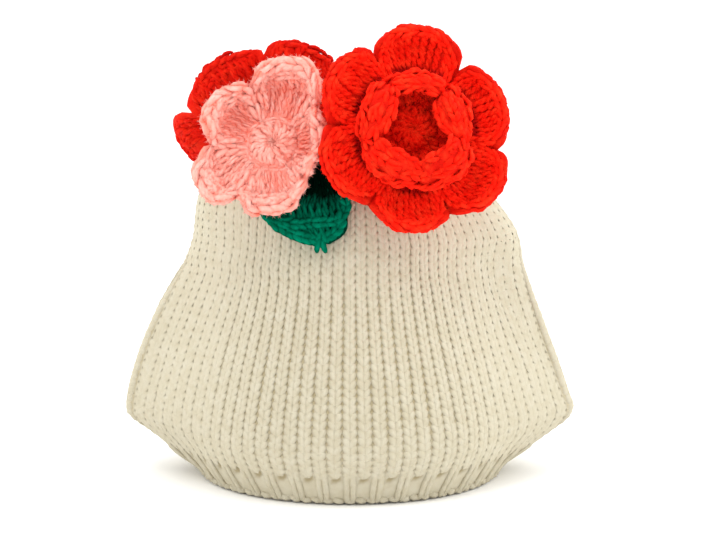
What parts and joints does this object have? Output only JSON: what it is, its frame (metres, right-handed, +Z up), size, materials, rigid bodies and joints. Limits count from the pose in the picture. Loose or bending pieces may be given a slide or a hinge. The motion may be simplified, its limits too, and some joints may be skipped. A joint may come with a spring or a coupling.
{
  "type": "tea cosy",
  "caption": "Knitted cream tea cosy with a ribbed hem, side slits for spout and handle, and crocheted red and pink flowers with a green leaf on top",
  "frame": {"origin": "On the surface under the middle of the hem, which is the bottom centre of the bounding box", "axes": "+X towards the handle slit, with the spout slit at -X; -Y is the front with the leaf and the flower faces; +Z up. The hem's underside is at z = 0"},
  "size_m": [0.1896, 0.1444, 0.1902],
  "materials": {
    "cream_wool": "knitted wool",
    "red_yarn": "crocheted yarn",
    "pink_yarn": "crocheted fluffy yarn",
    "green_yarn": "crocheted yarn"
  },
  "bodies": {
    "root": {"front_panel": "cream_wool", "back_panel": "cream_wool", "large_red_flower": "red_yarn", "small_red_flower": "red_yarn", "pink_flower": "pink_yarn", "rear_red_flower": "red_yarn", "leaf": "green_yarn"}
  },
  "joints": []
}
